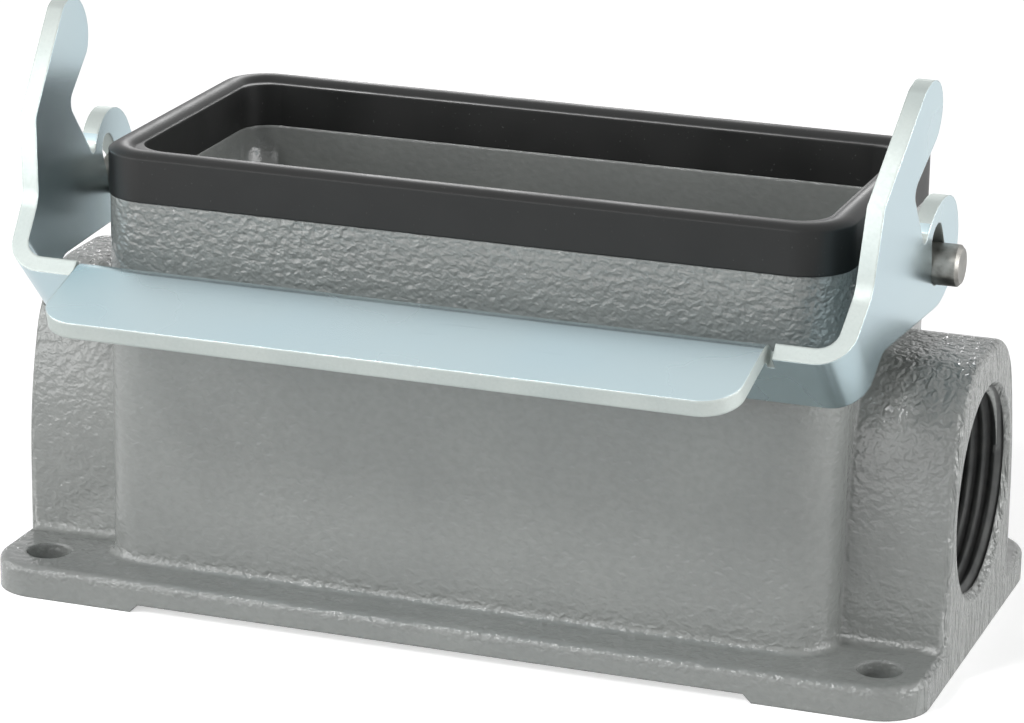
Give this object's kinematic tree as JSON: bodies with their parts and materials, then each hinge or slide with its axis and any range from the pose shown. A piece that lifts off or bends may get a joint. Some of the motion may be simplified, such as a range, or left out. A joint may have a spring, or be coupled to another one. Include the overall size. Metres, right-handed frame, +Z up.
{
  "type": "rectangular connector base housing",
  "caption": "Grey die-cast surface mounting housing for a rectangular connector, with a rubber sealing frame, a side cable entry and one hinged sheet steel locking lever.",
  "frame": {"origin": "middle of the four mounting holes, on the plane that the feet stand on", "axes": "+X along the housing towards the end with the cable entry, -Y towards the side where the lever's grip rests, +Z up out of the insert opening"},
  "size_m": [0.117, 0.0721, 0.0707],
  "materials": {
    "painted_casting": "mid grey powder coat with a wrinkled, orange peel texture on a die-cast aluminium body",
    "black_rubber": "satin black moulded sealing rubber",
    "pin_steel": "dull turned steel",
    "zinc_plated_sheet": "smooth bright sheet steel with pale bluish zinc plating and light handling scratches"
  },
  "bodies": {
    "base": {"housing": "painted_casting", "sealing_frame": "black_rubber", "pivot_pin_left": "pin_steel", "pivot_pin_right": "pin_steel"},
    "lever": {"locking_lever": "zinc_plated_sheet"}
  },
  "joints": [
    {"name": "lever_hinge", "type": "hinge", "parent": "base", "child": "lever", "pos_m": [0, 0, 0.0463], "axis": [-1, 0, 0], "range_deg": [0, 145]}
  ]
}
